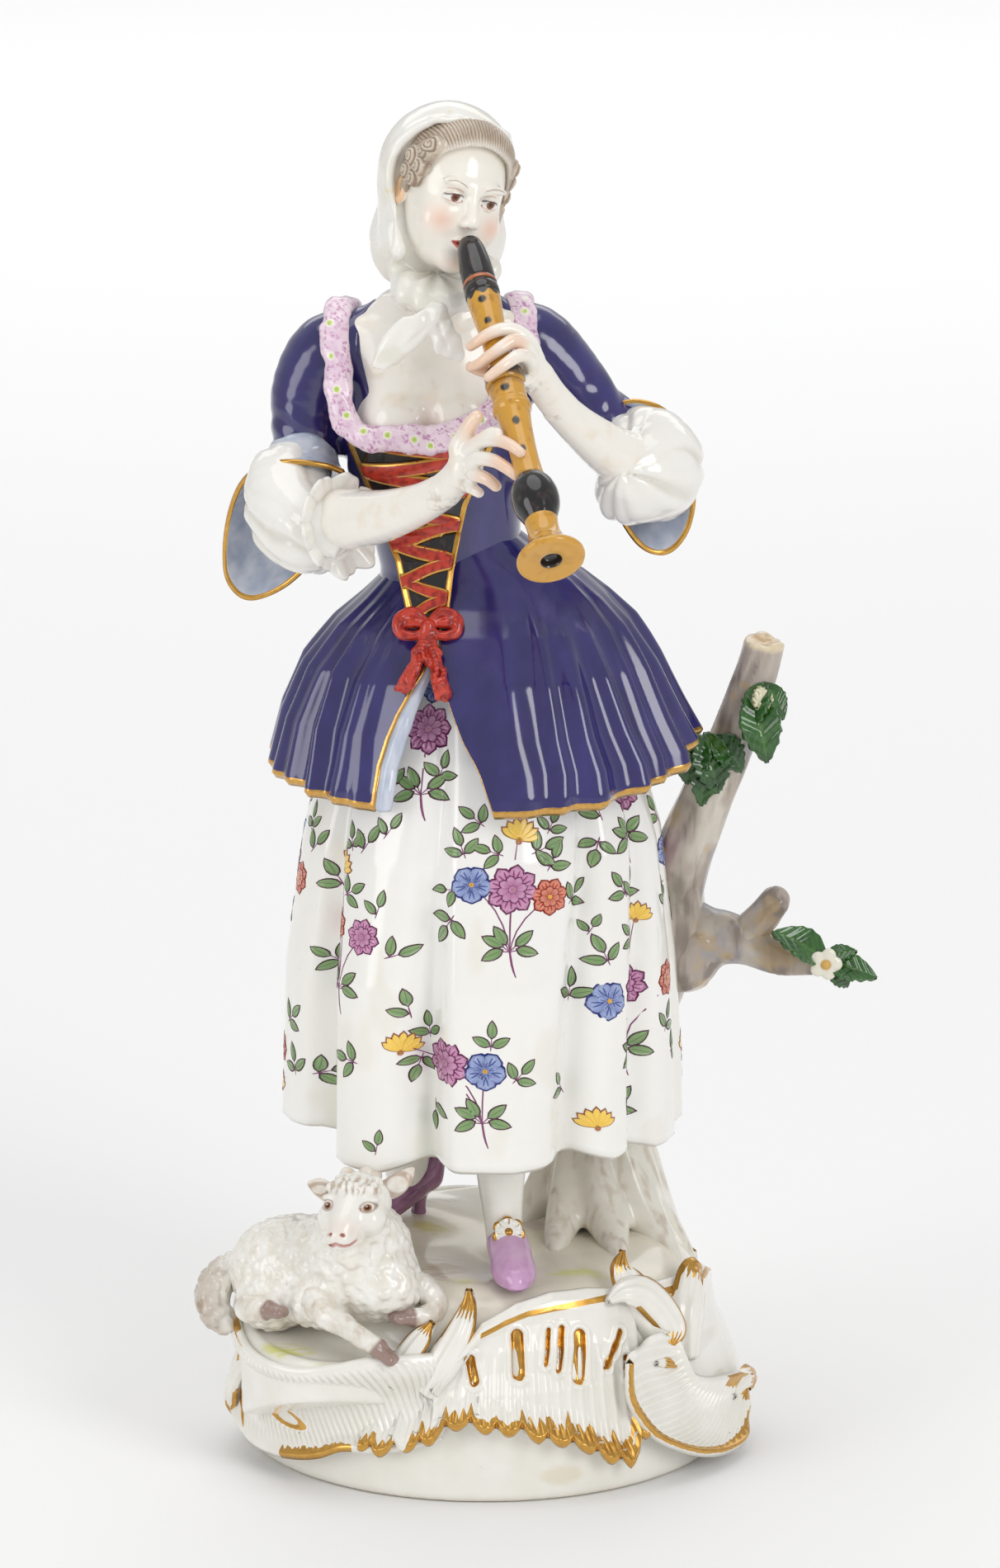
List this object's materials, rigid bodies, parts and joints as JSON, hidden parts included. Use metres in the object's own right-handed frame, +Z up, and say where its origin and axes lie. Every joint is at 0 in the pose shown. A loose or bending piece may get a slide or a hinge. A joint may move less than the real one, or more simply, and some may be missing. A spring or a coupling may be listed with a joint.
{
  "type": "porcelain figurine",
  "caption": "Standing porcelain shepherdess in a blue jacket playing a recorder beside a tree stump, with a lamb, on a round gilded scroll base.",
  "frame": {"origin": "centre of the base's foot, on the table", "axes": "+Z up, -Y the way the figure faces, +X towards the figure's left hand"},
  "size_m": [0.1357, 0.1286, 0.271],
  "materials": {
    "white_glaze": "clear glazed hard-paste porcelain, plain white",
    "base_glaze": "glazed porcelain with grey-brown shading and lime moss patches",
    "scroll_glaze": "glazed porcelain with fired gold edges",
    "gilt_scroll": "glazed porcelain, fired gold over the raised tips",
    "bark_glaze": "glazed porcelain streaked grey-brown",
    "leaf_enamel": "glossy green enamel on porcelain",
    "wool_glaze": "glazed porcelain with curled wool, touched with brown",
    "stocking_glaze": "white glazed porcelain",
    "shoe_enamel": "lilac enamel on porcelain",
    "gilt_white": "white glaze with fired gold",
    "petticoat_glaze": "white glazed porcelain painted with flower sprays",
    "jacket_enamel": "deep cobalt blue glaze",
    "lining_enamel": "pale grey-blue enamel with gold edge",
    "stomacher_enamel": "black enamel with gold lines",
    "ribbon_enamel": "iron-red enamel",
    "skin_glaze": "white glazed porcelain lightly tinted",
    "frill_enamel": "lilac enamel scribbled with magenta",
    "hair_enamel": "grey-brown painted hair",
    "recorder_black": "black enamel",
    "recorder_ochre": "ochre-yellow enamel with black finger holes"
  },
  "bodies": {
    "root": {"base_mound": "base_glaze", "lamb_ledge": "base_glaze", "front_cartouche": "scroll_glaze", "left_scroll": "scroll_glaze", "right_scroll": "scroll_glaze", "back_scroll": "scroll_glaze", "base_fringe": "gilt_scroll", "scroll_tips": "gilt_scroll", "tree_trunk": "bark_glaze", "upper_branch": "bark_glaze", "lower_branch": "bark_glaze", "branch_knob": "bark_glaze", "upper_leaves": "leaf_enamel", "middle_leaves": "leaf_enamel", "lower_leaves": "leaf_enamel", "branch_flower": "white_glaze", "lamb_body": "wool_glaze", "lamb_head": "wool_glaze", "lamb_ears": "wool_glaze", "lamb_tail": "wool_glaze", "lamb_stretched_leg": "wool_glaze", "lamb_folded_leg": "wool_glaze", "lamb_hind_leg": "wool_glaze", "left_leg": "stocking_glaze", "left_shoe": "shoe_enamel", "shoe_rosette": "gilt_white", "right_leg": "stocking_glaze", "right_shoe": "shoe_enamel", "petticoat": "petticoat_glaze", "jacket_skirt_right": "jacket_enamel", "jacket_skirt_left": "jacket_enamel", "jacket_lining": "lining_enamel", "bodice": "jacket_enamel", "bodice_back": "jacket_enamel", "stomacher": "stomacher_enamel", "lacing": "ribbon_enamel", "waist_bow": "ribbon_enamel", "bust": "skin_glaze", "neckline_frill": "frill_enamel", "right_sleeve": "jacket_enamel", "right_cuff": "lining_enamel", "right_puff": "white_glaze", "right_ruffle": "white_glaze", "right_forearm": "skin_glaze", "right_hand": "skin_glaze", "left_sleeve": "jacket_enamel", "left_cuff": "lining_enamel", "left_puff": "white_glaze", "left_forearm": "skin_glaze", "left_hand": "skin_glaze", "head": "skin_glaze", "hair": "hair_enamel", "head_scarf": "white_glaze", "scarf_knot": "white_glaze", "recorder_beak": "recorder_black", "recorder_upper_joint": "recorder_ochre", "recorder_lower_joint": "recorder_ochre", "recorder_bulb": "recorder_black", "recorder_bell": "recorder_ochre"}
  },
  "joints": []
}
